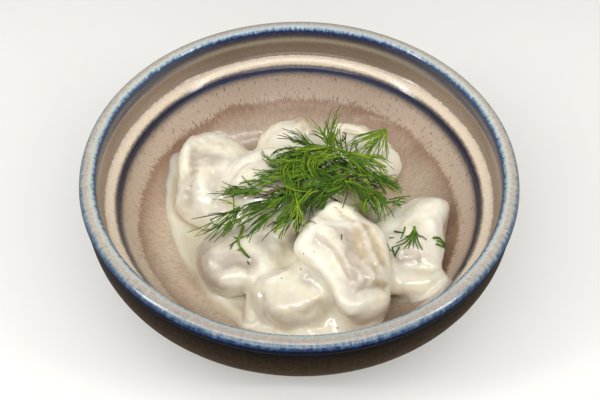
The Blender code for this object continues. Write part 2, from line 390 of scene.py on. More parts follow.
def makeBowlMesh():
    bm = bmesh.new()
    corners = [bm.verts.new((mm(radius), 0, mm(height))) for radius, height in bowlOutline]
    edges = [bm.edges.new(pair) for pair in zip(corners, corners[1:])]
    bmesh.ops.spin(bm, geom=corners + edges, cent=(0, 0, 0), axis=(0, 0, 1), angle=math.tau,
                   steps=bowl["turns"], use_merge=True)
    bmesh.ops.remove_doubles(bm, verts=bm.verts, dist=mm(0.005))
    bmesh.ops.recalc_face_normals(bm, faces=bm.faces)
    mesh = meshFromBmesh(bm, "bowl")
    points = meshPoints(mesh)
    radius = np.hypot(points[:, 0], points[:, 1])
    tree = KDTree(len(bowlOutline))
    for index, (across, height) in enumerate(bowlOutline):
        tree.insert((across, height, 0), index)
    tree.balance()
    nearest = [tree.find((across, height, 0))[1] for across, height in zip(radius, points[:, 2])]
    setAttribute(mesh, "along", alongOutline[nearest])
    # thrown by hand: the wall wavers a little
    wave = softNoise(points, 45, 3) * 0.22 + softNoise(points, 18, 4) * 0.06
    share = smoothStep(25, 60, radius) * smoothStep(2, 10, points[:, 2])
    outward = points[:, :2] / np.maximum(radius, 1)[:, None]
    points[:, :2] += outward * (wave * share - 0.1 * share)[:, None]
    setMeshPoints(mesh, points)
    return mesh


# the glaze follows the section, from the middle of the floor over the rim and down the outside
glaze = {
    # distance along the section in mm, then red, green and blue
    "inside": [
        (0, 198, 180, 158), (50, 196, 176, 154), (60, 190, 171, 150), (66, 172, 151, 132),
        (70, 158, 134, 114), (72.4, 145, 117, 97), (73.8, 140, 113, 95), (75.2, 176, 157, 139),
        (83, 170, 152, 135), (85, 162, 143, 127), (86.2, 132, 118, 108), (87, 96, 92, 98), (87.8, 50, 52, 78),
        (89.4, 38, 42, 68), (90, 84, 80, 84), (90.6, 134, 119, 104), (91.2, 196, 180, 160),
        (92.2, 214, 198, 176), (94.2, 210, 194, 174), (95, 186, 170, 152), (95.6, 118, 102, 86),
        (101, 118, 102, 86), (102.2, 126, 111, 94)],
    # the rim: the grey from 105 to 107.5 is painted shadow and reflection of the rim's underside; from 116 on
    # the outside's navy and brown are the glaze's own colours darkened with painted shade, near black just
    # under the rim
    "rim": [
        (102.2, 130, 115, 98), (103, 152, 140, 120), (104.2, 146, 136, 120), (105.2, 112, 103, 94),
        (106.2, 84, 79, 84), (107.2, 62, 63, 84), (108.2, 36, 42, 72), (109.1, 30, 44, 84),
        (109.7, 66, 96, 138), (110.3, 126, 150, 166), (111, 170, 181, 182), (112, 178, 179, 172),
        (112.8, 166, 158, 148), (113.7, 160, 153, 145), (114.3, 140, 143, 142), (114.9, 112, 128, 138),
        (115.6, 64, 90, 120), (116.3, 24, 46, 84), (117.1, 9, 18, 42), (118.6, 7, 10, 18),
        (121.5, 12, 12, 13), (124, 30, 24, 16), (127, 43, 33, 22), (133, 56, 44, 29), (150, 58, 46, 31),
        (200, 60, 49, 35)],
    # bands painted lighter or darker at the two sides, painted light and shade: from, to, soft edge, factors
    # of the colour
    "sides": [
        (86.2, 90.4, 1, 0.55, 0.55, 0.6), (90.8, 95.8, 0.8, 1.27, 1.27, 1.26),
        (110.2, 115, 1, 1.26, 1.24, 1.2)],
}


def glazeMaterial():
    look = Look("stonewareGlaze")
    along = look.attribute("along")
    heading = look.vector("NORMALIZE", look.vector("MULTIPLY", look.place, (1, 1, 0)))

    def streaks(turns, stretch, detail=1):
        # noise that follows the wall: fine round the bowl, drawn out up and down it
        up = look.put("CombineXYZ", {2: along * stretch})
        across = look.vector("MULTIPLY", heading, (turns, turns, turns))
        return look.noise(1, detail, at=look.vector("ADD", across, up))

    # the glaze has run: the floor's edges are toothed, and the rim's bands grainy
    waver = streaks(4, 0.02).centred(4)
    teeth = streaks(70, 0.20).centred(4.5)
    hairs = streaks(150, 0.35, 2).centred(4)
    run = (waver + (teeth + hairs)) * (1 - along.step(78, 84))
    lip = along.step(105, 108) * 0.35
    grain = look.noise(700).centred(1)
    stir = waver * 0.1 + (grain * lip.scaled(4, 1) + teeth * (lip + 0.06))
    moved = along + (run + stir)
    inside = (moved / 104).ramp([(at / 104, srgb(*color)) for at, *color in glaze["inside"]])
    rim = ((moved - 100) / 100).ramp([((at - 100) / 100, srgb(*color)) for at, *color in glaze["rim"]])
    color = look.mix(moved > 102.2, inside, rim)

    # pale and dark streaks in the floor and the brown bands
    streakLight = streaks(130, 0.35, 3).ramp([(0.30, 0.80), (0.5, 1), (0.72, 1.16)])
    color = look.multiply(1 - along.step(74, 77) * 0.85, color, streakLight)

    # painted light and shade: towards the two sides the floor, the walls, the shoulder and the rim's crest
    # are painted lighter, and the navy line darker
    paintedSideLightAndShade = abs(look.put("SeparateXYZ", {0: heading})).step(0.35, 0.95)
    # painted light: the floor and the walls up to the navy line are lighter at the sides
    color = look.multiply(paintedSideLightAndShade * (1 - along.step(84, 86)), color, (1.34, 1.36, 1.38, 1))
    # painted light: the brown wall and the olive band under the rim are lighter at the sides
    color = look.multiply(paintedSideLightAndShade * along.within(94.5, 96, 103, 106), color, (1.8, 1.85, 1.95, 1))
    for low, high, soft, *tint in glaze["sides"]:
        band = moved.within(low, low + soft, high - soft, high)
        color = look.multiply(paintedSideLightAndShade * band, color, (*tint, 1))
    # painted shadow and reflection of the rim's underside: the band under the rim greys to blue-grey at the
    # two sides
    color = look.mix(paintedSideLightAndShade * moved.within(102.2, 103.2, 108.6, 109.6) * 0.88, color, srgb(84, 89, 104))

    # sparse short dark marks, denser just above the toothed edge and below the blue line
    edges = along.near(75.5, 0, 4) + along.near(85, 0, 3)
    marks = (streaks(130, 0.5, 0) > 0.77 - edges * 0.09) * 0.75
    color = look.mix(marks * along.within(73.5, 76, 84, 87), color, srgb(92, 68, 56))

    # the glaze is grainy all over
    grains = look.noise(1500, 2, 0.7).ramp([(0.28, 0.80), (0.5, 1), (0.72, 1.18)])
    color = look.multiply(0.75, color, grains)

    # rust stipple along the crest of the rim
    dots = look.noise(1500, 1).step(0.52, 0.66)
    color = look.mix(dots * (along.near(112.9, 0.4, 1.4) * 0.6), color, srgb(142, 118, 106))

    # speckle on the outside
    specks = look.noise(900).ramp([(0.3, 0.62), (0.5, 1), (0.7, 1.35)])
    color = look.multiply(along.step(121, 124), color, specks)
    dull = along.step(115.6, 117.2)
    return look.finish({"Base Color": color, "Roughness": dull.scaled(0.36, 0.16),
                        "Specular IOR Level": dull.scaled(-0.48, 0.5), "IOR": 1.52},
                       (look.noise(260), 0.08, 0.0006))


# What is on each pelmen. The paths lie on its node's skin, in hundredths of the node's box.
# strokes are ridges and dents: width, height (less than 0 for a dent) and path. The rest colours the coat, by
# radius, amount and path: dusk greys it in patches, mostly along the dents; dull where the coat has dried,
# tan where it's bare.
pelmeni = {
    "pelmen_left": {
        "strokes": [
            (4.2, 1.1, (12, 66, 99), (8, 53, 93), (14, 41, 91), (15, 34, 88), (10, 27, 78)),
            (2.6, -0.7, (20, 62, 97), (22, 50, 98), (24, 40, 95)),
            (4.5, -1.5, (19, 30, 88), (17, 17, 77), (23, 8, 63)),
            (4, 1.8, (7, 17, 55), (9, 14, 36), (25, 6, 33), (41, 3, 31)), (2.4, -0.4, (36, 59, 90)),
            (2.2, -0.5, (46, 48, 94)), (2.4, -0.5, (52, 56, 93)), (1.2, 0.4, (42, 53, 93)),
            (4, -1.2, (54, 35, 90), (62, 22, 80)), (4.5, 0.9, (66, 48, 89)),
            (3, 1.4, (34, 38, 95), (39, 20, 86))],
        "dusk": [
            (4, 0.9, (21, 34, 90), (20, 12, 70)), (2.8, 1.3, (24, 62, 97), (26, 36, 93)),
            (5, 1.1, (34, 58, 90), (53, 50, 94)), (3.6, 0.8, (54, 38, 88), (56, 15, 80)),
            (2.8, 0.6, (40, 73, 91), (62, 68, 90))],
        "dull": [(6, 1, (12, 70, 95), (12, 30, 80), (14, 10, 60)), (9, 0.85, (45, 70, 95), (75, 50, 85))],
        "tan": [(1.5, 0.85, (20.5, 58, 98), (22, 46, 96), (23.5, 34, 93)), (1, 0.6, (42, 53, 93))],
    },
    "pelmen_back": {
        "strokes": [
            (1.8, -1.6, (58, 77, 90), (61, 47, 95)), (3.4, 1.9, (62, 80, 86), (66, 70, 93), (71, 58, 95)),
            (3.5, 0.8, (40, 76, 80), (16, 54, 70))],
        "tan": [(3.2, 1.3, (61, 86, 84), (66, 72, 93), (70, 58, 95)), (2.2, 0.5, (80, 66, 90))],
    },
    "pelmen_back_right": {
        "strokes": [
            (2, 1.4, (21, 76, 90), (36, 71, 95), (51, 65, 95), (64, 59, 90)),
            (1.6, -1.4, (29, 66, 95), (46, 60, 97)), (2.8, 1.2, (35, 51, 97), (54, 42, 90)),
            (2.6, 1.2, (73, 45, 80), (88, 33, 60), (95, 23, 45)), (2.2, -1.2, (66, 50, 85), (74, 28, 75))],
        "dusk": [(3, 0.6, (70, 42, 85), (75, 25, 75))],
        "tan": [(2, 1, (30, 64, 95), (47, 58, 97)), (1.8, 0.6, (60, 58, 90)), (1.6, 0.5, (78, 36, 75))],
    },
    "pelmen_middle": {
        "strokes": [
            (3.6, 1.5, (2, 58, 55), (7, 62, 65), (12, 71, 70), (20, 82, 75), (32, 88, 90), (46, 90, 95),
             (66, 94, 95)), (2.2, -0.9, (10, 51, 80), (15, 59, 85), (22, 67, 90), (39, 72, 98)),
            (3.4, 0.8, (16, 44, 85), (28, 54, 95), (42, 58, 98)), (3, 1.2, (63, 6, 55), (62, 3, 35))],
        "dusk": [(4, 0.8, (10, 36, 70)), (4, 0.7, (45, 5, 40)), (2.4, 0.6, (13, 56, 80))],
        "tan": [
            (2, 0.8, (12, 42, 80), (22, 40, 90)), (3, 0.7, (26, 24, 90)),
            (3.2, 0.9, (44, 10, 70), (46, 2, 30))],
    },
    "pelmen_front_left": {
        "strokes": [
            (2.8, -1.9, (34, 24, 97), (43, 27, 98), (52, 29, 92), (59, 24, 88)),
            (4, 2, (36, 5, 76), (47, 6, 80), (56, 12, 82)),
            (2.4, -1.3, (61, 32, 87), (61, 18, 80), (61, 8, 54)),
            (4.4, 1.3, (70, 20, 75), (80, 33, 82), (86, 50, 86)), (1.7, 0.9, (69, 20, 76)),
            (3.4, 1, (13, 34, 80), (24, 9, 65)), (2.4, -0.7, (24, 36, 97), (28, 20, 95))],
        "dusk": [
            (4.4, 1.4, (34, 28, 97), (46, 32, 98), (59, 30, 90)),
            (5.5, 1.5, (12, 50, 85), (14, 22, 78), (26, 6, 60)), (6.5, 1.1, (30, 60, 97), (18, 60, 90)),
            (3.6, 0.9, (72, 56, 90), (82, 42, 86))],
        "dull": [(5, 1, (12, 50, 85), (14, 22, 78)), (4.6, 1, (24, 46, 97), (40, 38, 98), (60, 44, 95))],
    },
    "pelmen_front": {
        "strokes": [
            (2, -0.9, (22, -2, 30), (45, -6, 34), (70, 0, 42)),
            (1, 1.3, (5, 67, 66), (9, 67, 76), (23, 65, 92), (38, 70, 96), (51, 86, 90)),
            (2.2, -1, (16, 40, 82), (20, 16, 61), (26, 2, 40)),
            (3.4, 1.4, (34, 18, 80), (46, 14, 84), (54, 18, 90), (68, 24, 92), (83, 36, 88), (91, 44, 80)),
            (2.1, -1, (65, 1, 50), (72, 13, 74), (82, 26, 80)), (4, -0.8, (32, 48, 96), (70, 55, 97))],
        "dusk": [(4, 0.8, (72, 66, 95), (95, 55, 80)), (2, 0.5, (18, 40, 82), (22, 10, 50))],
    },
    "pelmen_right": {
        "strokes": [
            (1.7, -2, (9, 26, 51), (18, 25, 66), (31, 25, 74), (47, 22, 78), (60, 19, 80)),
            (3.6, -2, (16, 36, 68), (26, 33, 74), (41, 31, 78)), (0.9, 1.2, (36, 32, 78), (49, 31, 79)),
            (1.3, 1, (33, 42, 82), (46, 39, 81), (54, 31, 79)),
            (3.8, 2, (15, 13, 49), (33, 10, 64), (56, 10, 75)), (5, 1.2, (62, 83, 94), (83, 84, 97)),
            (3, -0.9, (45, 64, 94), (57, 53, 94)), (4.5, -2.4, (93, 60, 74), (94, 40, 68), (94, 26, 62)),
            (1.6, 0.6, (66, 63, 98)), (1.8, 0.6, (57, 10, 76)), (3.4, -0.8, (12, 5, 32), (28, 0, 36)),
            (2, 0.8, (40, 0, 40))],
        "dusk": [
            (3.2, 1.1, (17, 35, 70), (28, 34, 74), (44, 31, 78)), (3, 0.5, (32, 6, 55)),
            (3.5, 0.6, (46, 62, 94))],
        "tan": [(1.5, 0.5, (14, 25, 60)), (1.2, 0.5, (40, 24.5, 76), (50, 23, 78))],
    },
    "pelmen_top": {
        "strokes": [
            (3.6, 2.4, (6, 54, 69), (18, 43, 69), (30, 33, 68), (39, 21, 63), (47, 11, 56), (56, 3, 49)),
            (4, 1.2, (3, 54, 61), (8, 48, 61)),
            (3, -2, (17, 53, 84), (26, 46, 86), (33, 38, 84), (40, 29, 78), (47, 19, 72), (54, 11, 69)),
            (6, -1.4, (34, 39, 88), (49, 20, 75)), (5, -0.8, (52, 52, 86), (60, 30, 76)),
            (4, 1.6, (38, 93, 92)), (5, -1.8, (8, 80, 80)), (5.5, -1.8, (74, 86, 80)),
            (1.5, -2, (61, 9, 62), (66, 12, 64), (74, 14, 63), (85, 16, 59), (95, 23, 46)),
            (5.6, 1.4, (56, 3, 50), (73, 3, 44), (86, 8, 44)),
            (1.8, 0.4, (68, 62, 84), (73, 52, 78), (81, 41, 73), (86, 35, 68)),
            (2.6, -0.5, (62, 60, 84), (65, 52, 79), (69, 45, 75)),
            (1.5, -0.5, (72, 69, 84), (80, 57, 79), (85, 47, 73), (88, 39, 69)), (2, 0.9, (56, 28, 80)),
            (2, 1, (66, 27, 74)), (2, 0.7, (77, 23, 68)), (2, -0.8, (60, 18, 73)), (1.7, -0.8, (70, 18, 67)),
            (2, -0.9, (83, 31, 68)), (1.8, -0.6, (40, 87, 85), (46, 83, 86)),
            (1.7, -0.6, (49, 80, 85), (59, 74, 86)), (2.4, -0.6, (16, 60, 89), (25, 53, 94)),
            (2, 0.4, (50, 45, 84)), (1.8, 0.4, (46, 36, 82)), (2, 0.4, (58, 38, 80)),
            (1.4, 0.6, (62, 22, 73), (68, 20, 70)), (1.6, -0.5, (54, 24, 78)), (4.5, 1, (26, 71, 88)),
            (3.6, 0.9, (45, 67, 83), (49, 52, 89))],
        "dusk": [
            (3.2, 0.9, (17, 53, 86), (28, 46, 87), (38, 34, 84), (48, 20, 75)),
            (6.5, 1.2, (50, 54, 84), (56, 34, 80), (62, 20, 72)),
            (6, 0.8, (62, 62, 84), (74, 48, 77), (78, 34, 72)),
            (4, 0.8, (52, 36, 82), (60, 16, 70), (78, 18, 62)), (4, 0.4, (24, 66, 88)),
            (3, 0.5, (90, 8, 40))],
        "dull": [
            (6.5, 1, (6, 54, 69), (30, 33, 68), (47, 11, 56), (90, 10, 50)),
            (7, 1, (20, 70, 86), (42, 85, 90), (70, 72, 84), (90, 40, 66)), (6, 0.9, (40, 50, 85))],
        "tan": [
            (3, 1.25, (61, 60, 84), (64, 51, 79), (68, 43, 75)),
            (2.4, 1, (72, 69, 84), (80, 57, 79), (85, 47, 73), (88, 39, 69)),
            (1.9, 0.9, (72, 36, 74), (84, 31, 67)), (2.4, 1.1, (80, 21, 65), (90, 21, 58)),
            (1.2, 0.9, (40, 87, 85), (46, 83, 86)), (1.2, 0.9, (49, 80, 85), (59, 74, 86)),
            (1.6, 0.6, (18, 55, 86)), (1.8, 0.6, (42, 28, 80), (48, 18, 74))],
    },
}
dough = {"voxel": 0.9, "smooth": 14, "plump": 0.6, "coat": 0.62}


def placeOn(name, share):
    # the point on a node's skin nearest to this share of its box, in hundredths
    low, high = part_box(name)
    inBox = Vector(low[axis] + share[axis] / 100 * (high[axis] - low[axis]) for axis in range(3))
    return np.array(skins[name].find_nearest(inBox)[0]) * 1000


def distanceToLine(points, line):
    if len(line) == 1:
        return np.linalg.norm(points - line[0], axis=1)
    best = np.full(len(points), 1e9)
    for start, end in zip(line, line[1:]):
        run = end - start
        share = np.clip((points - start) @ run / max(run @ run, 1e-9), 0, 1)
        best = np.minimum(best, np.linalg.norm(points - start - share[:, None] * run, axis=1))
    return best


def nodeCopy(name):
    # the CAD node's mesh with its loose triangles merged
    bm = bmesh.new()
    bm.from_mesh(nodes[name].data)
    bmesh.ops.remove_doubles(bm, verts=bm.verts, dist=mm(0.02))
    for layer in list(bm.loops.layers.uv):
        bm.loops.layers.uv.remove(layer)
    mesh = meshFromBmesh(bm, name + "_copy")
    mesh.materials.clear()
    return mesh


def relax(mesh, rounds, factor=0.5):
    points, edges = meshPoints(mesh), meshEdges(mesh)
    for _ in range(rounds):
        points += (neighbourMean(points, edges) - points) * factor
    setMeshPoints(mesh, points)


def swell(mesh, amount):
    setMeshPoints(mesh, meshPoints(mesh) + pointNormals(mesh) * amount)


def plumpPelmen(name):
    mesh = remeshed(nodeCopy(name), dough["voxel"])
    relax(mesh, dough["smooth"])
    swell(mesh, dough["plump"])
    return mesh


def fold(mesh, names):
    # presses these pelmeni's folds and dents into the mesh
    points, normals = meshPoints(mesh), pointNormals(mesh)
    for name in names:
        for width, height, *path in pelmeni[name]["strokes"]:
            away = distanceToLine(points, [placeOn(name, share) for share in path])
            near = away < width * 2.6
            points[near] += normals[near] * (height * np.exp(-(away[near] / width) ** 2))[:, None]
    setMeshPoints(mesh, points)


def spotShare(points, name, kind):
    share = np.zeros(len(points))
    for radius, amount, *path in pelmeni[name].get(kind, ()):
        away = distanceToLine(points, [placeOn(name, spot) for spot in path])
        share = np.maximum(share, amount * np.exp(-(away / radius) ** 2))
    return share


def doughPiece(name, plump, material):
    # the pelmen itself, just under its coat; bare patches stand through the coat
    mesh = plump.copy()
    fold(mesh, [name])
    points, normals = meshPoints(mesh), pointNormals(mesh)
    bare = spotShare(points, name, "tan")
    fine = softNoise(points, 2.2, 8) * 0.12
    points += normals * (-dough["coat"] + bare * 0.24 + fine)[:, None]
    setMeshPoints(mesh, points)
    addPiece("dough_" + name.replace("pelmen_", ""), mesh, material, name)


cream = {
    "voxel": 0.74,
    "closing": 2,           # gaps narrower than twice this are bridged
    "flow": 14,             # rounds of flow into the hollows
    "dusk": 0.8,
    # the pool's edge: direction in degrees, distance from the middle, depth on the wall, level at this side,
    # and how far in it thickens
    "edge": [
        (0, 30, 0.8, 13, 2.4), (60, 32, 0.8, 13, 2.4), (110, 35, 0.8, 13, 2.4), (130, 46, 0.8, 13.5, 2.4),
        (145, 63, 0.9, 13.5, 2.4), (152, 66, 0.9, 14, 2.4), (161, 63, 1.4, 14.5, 2.4),
        (172, 59, 3.4, 15, 2.4), (182, 56, 3.6, 15, 2.4), (191, 54, 3.2, 15, 3), (201, 54, 1.5, 13.5, 6),
        (212, 56.5, 0.7, 12.5, 9), (233, 58, 0.7, 12.5, 9), (244, 57, 0.9, 13.5, 7), (252, 56, 2, 15.5, 2.8),
        (270, 56.5, 2.4, 15.8, 2.4), (290, 57, 2.2, 15.8, 2.4), (299, 54, 1.6, 14.5, 2.4),
        (305, 47, 1, 12.5, 2.4), (313, 48, 1, 12.5, 3), (317, 69, 0.9, 13, 4), (321, 72, 0.9, 13, 4),
        (326, 72, 0.9, 13, 4), (331, 64, 0.9, 13, 3), (336, 44, 0.8, 13, 2.4), (345, 34, 0.8, 13, 2.4)],
    # extra cream between the pelmeni: x, y, z, radius
    "mounds": [
        (45, -4, 27, 6.5), (51, -1, 29, 6), (38, -10, 26, 7), (37, -20, 27, 6), (37, -28, 24, 6),
        (44.5, -37, 23.5, 5.2), (50, -40, 28, 4.5), (55, -36, 31, 3.5), (36, 2, 19, 6), (33, 10, 17, 5),
        (-27, 6, 26, 6), (-24, 14, 27, 5), (-28, -10, 24, 7), (-18, -14, 26, 6), (-10, -30, 20, 6),
        (4, -34, 20, 6), (-2, 22, 24, 7), (-4, -22, 20, 6), (-2.5, -13.5, 17.5, 5.5), (14.5, -51, 15, 5.2),
        (11, -49, 15, 5), (23, -49.5, 28, 5.5), (28, -47.5, 28, 5.5), (22.5, -51, 22, 5.5),
        (27.5, -50, 22, 6), (31, -45.5, 24, 5)],
    # thicker runs: points as x, y, z and radius
    "runs": [
        [(-19.5, -34, 21.5, 1.6), (-14.5, -35, 26, 1.5), (-9, -34.5, 28, 1.4), (-3, -31.5, 28.5, 1.3),
         (2.5, -28, 31, 1.3)],
        [(-18.5, -35, 20.5, 1.8), (-19.5, -42, 19, 2.4), (-18.5, -50, 17.5, 2.8)],
        [(-45, -9, 13.5, 0.9), (-44, -14, 13.3, 0.9), (-42.5, -19.5, 13.3, 0.9), (-39.7, -25.1, 13.4, 0.9),
         (-34.8, -33.4, 13.9, 0.9), (-28.5, -39.8, 14.3, 0.9), (-21, -44.5, 14.8, 1)]],
    # colours of a thin film, by its depth as a share of 1.5
    "film": [(0, 206, 190, 166), (0.3, 228, 215, 189), (0.8, 250, 242, 220)],
    "pepper": [
        (-43.5, 12), (-46, 6), (-42.5, 3.5), (2, -33), (1, -34), (15.5, -53), (-6.5, -38), (6, -33),
        (-38, -26)],
}


def poolEdge(x, y):
    turn = np.degrees(np.arctan2(y, x)) % 360
    around = np.array(cream["edge"], float)
    around = np.vstack([around, around[0] + (360, 0, 0, 0, 0)])
    return [np.interp(turn, around[:, 0], around[:, column]) for column in (1, 2, 3, 4)]


def poolMesh():
    # the pool from inside the bowl's wall up to its surface, thin where it climbs the wall
    bm = bmesh.new()
    bmesh.ops.create_grid(bm, x_segments=150, y_segments=150, size=mm(70))
    outside = []
    for face in bm.faces:
        middle = face.calc_center_median()
        if middle.length * 1000 > poolEdge(middle.x, middle.y)[0] + 2.5:
            outside.append(face)
    bmesh.ops.delete(bm, geom=outside, context="FACES")
    top = list(bm.verts)
    made = bmesh.ops.extrude_face_region(bm, geom=list(bm.faces))
    below = [item for item in made["geom"] if isinstance(item, bmesh.types.BMVert)]
    for corners, isTop in ((top, True), (below, False)):
        for corner in corners:
            x, y = corner.co.x * 1000, corner.co.y * 1000
            radius = math.hypot(x, y)
            floor = bowlHeight(radius)
            if not isTop:
                corner.co.z = mm(floor - 1.6)
                continue
            reach, depth, level, width = poolEdge(x, y)
            ragged = 0.9 * noise.noise(Vector((x, y, 0)) / 5) + 0.5 * noise.noise(Vector((x, y, 9)) / 2)
            inward = min(max((reach + ragged - radius) / width, 0), 1)
            edge = math.sqrt(1 - (1 - inward) ** 2)
            edge += (inward - edge) * min(max((width - 3) / 4, 0), 1)
            wave = 1 + 0.25 * noise.noise(Vector((x, y, 5)) / 9)
            deep = max(level - floor, 0)
            corner.co.z = mm(floor - 0.6 + edge * (0.6 + math.hypot(depth * wave, deep)))
    bmesh.ops.recalc_face_normals(bm, faces=bm.faces)
    return meshFromBmesh(bm, "pool")


def runMesh(points):
    # a thick run of cream along a line
    curve = roundCurve("run", 3)
    curve.resolution_u = 8
    spline = curve.splines.new("NURBS")
    spline.points.add(len(points) - 1)
    for point, (x, y, z, radius) in zip(spline.points, points):
        point.co = (mm(x), mm(y), mm(z), 1)
        point.radius = radius
    spline.use_endpoint_u = True
    spline.order_u = 3
    return finishedMesh(looseObject("run", curve))


def flowIntoHollows(mesh, rounds):
    # cream settles into creases: points move out where the surface is hollow
    points, edges = meshPoints(mesh), meshEdges(mesh)
    for turn in range(rounds):
        if turn % 4 == 0:
            setMeshPoints(mesh, points)
            normals = pointNormals(mesh)
        pull = neighbourMean(points, edges) - points
        lift = np.einsum("ij,ij->i", pull, normals)
        points += normals * (np.maximum(lift, 0) * 0.7)[:, None] + pull * 0.06
    setMeshPoints(mesh, points)


def makeCoat(plump, material):
    # one skin of cream over everything, with the pool
    heap = []
    for mesh in plump.values():
        fat = mesh.copy()
        swell(fat, cream["closing"])
        heap.append(fat)
    bm = bmesh.new()
    for x, y, z, radius in cream["mounds"]:
        bmesh.ops.create_icosphere(bm, subdivisions=3, radius=mm(radius + cream["closing"]),
                                   matrix=Matrix.Translation((mm(x), mm(y), mm(z))))
    heap.append(meshFromBmesh(bm, "mounds"))
    together = remeshed(joinedMesh("heap", heap), 0.9)
    relax(together, 4)
    swell(together, -cream["closing"])
    parts = [together, poolMesh()] + [runMesh(run) for run in cream["runs"]]
    mesh = remeshed(joinedMesh("cream", parts), cream["voxel"])
    flowIntoHollows(mesh, cream["flow"])
    relax(mesh, 2)
    fold(mesh, pelmeni)
    relax(mesh, 2)
    points, normals = meshPoints(mesh), pointNormals(mesh)
    dusk, tan, dull = (np.max([spotShare(points, name, kind) for name in pelmeni], axis=0)
                       for kind in ("dusk", "tan", "dull"))
    dusk *= cream["dusk"]
    film = points[:, 2] - bowlHeight(np.hypot(points[:, 0], points[:, 1]))
    bareSkin = meshSkin(joinedMesh("bare", plump.values()))
    found = [bareSkin.find_nearest(corner.co, mm(4)) for corner in mesh.vertices]
    depth = np.array([mm(4) if place is None else away for place, _, _, away in found]) * 1000
    thin = 1 - smoothStep(0.3, 2.2, depth)
    lumps = softNoise(points, 7, 12) * 0.35 + softNoise(points, 2.6, 11) * (0.1 + 0.22 * thin + 0.3 * dusk)
    points += normals * (lumps * smoothStep(1, 4, film) - tan * 0.24)[:, None]
    setMeshPoints(mesh, points)
    for name, values in {"thin": thin, "dusk": dusk, "tan": tan, "dull": dull, "film": film}.items():
        setAttribute(mesh, name, values)
    return addPiece("creamCoat", mesh, material, "sour_cream")


def creamMaterial():
    look = Look("creamCoat")
    dusk, tan, film, thin, dull = (look.attribute(name) for name in ("dusk", "tan", "film", "thin", "dull"))
    broad = look.noise(90, 3)
    fine = look.noise(420, 4, 0.6)
    color = look.mix(broad.step(0.35, 0.68), srgb(240, 232, 208), srgb(249, 245, 228))
    patchy = thin * look.noise(130, 4, 0.6).step(0.38, 0.66)
    color = look.mix(patchy * 0.45, color, srgb(222, 213, 200))
    dusk = dusk + broad.centred(0.6) + fine.centred(0.4)
    color = look.mix(dusk.step(0, 1.1) * 0.9, color, srgb(188, 174, 158))
    tan = tan + look.noise(260, 3, 0.6).centred(1.1)
    color = look.mix(tan.step(0.15, 1.15) * 0.85, color, srgb(190, 169, 134))

    # a thin film shows the glaze, and looks grey high on the wall
    grainy = (film + look.noise(600, 3).centred(0.7)) / 1.5
    filmColor = grainy.ramp([(at, srgb(*color)) for at, *color in cream["film"]])
    up = look.put("SeparateXYZ", {0: look.place}, 2)
    filmColor = look.mix(up.step(0.019, 0.023), filmColor, srgb(212, 210, 212))
    color = look.mix(1 - film.step(0.4, 1.2), color, filmColor)

    flat = look.vector("MULTIPLY", look.place, (1, 1, 0))
    for x, y in cream["pepper"]:
        away = look.vector("DISTANCE", flat, (mm(x), mm(y), 0), "Value")
        color = look.mix((away < mm(0.32)) * 0.7, color, srgb(70, 56, 40))
    return look.finish({"Base Color": color, "Roughness": dull.scaled(0.16, 0.28), "IOR": 1.42,
                        "Coat Weight": dull.scaled(-0.85, 1), "Coat Roughness": 0.04, "Coat IOR": 1.6,
                        "Subsurface Weight": 0.3, "Subsurface Radius": (1, 0.75, 0.5),
                        "Subsurface Scale": 0.002},
                       (broad * 0.6 + fine * 0.3, 0.11, 0.0008))


def doughMaterial():
    look = Look("boiledDough")
    color = look.mix(look.noise(160, 3).step(0.3, 0.7), srgb(186, 166, 130), srgb(204, 187, 154))
    return look.finish({"Base Color": color, "Roughness": 0.3, "IOR": 1.42, "Subsurface Weight": 0.3,
                        "Subsurface Radius": (1, 0.7, 0.45), "Subsurface Scale": 0.002},
                       (look.noise(700, 3, 0.6), 0.3, 0.0006))


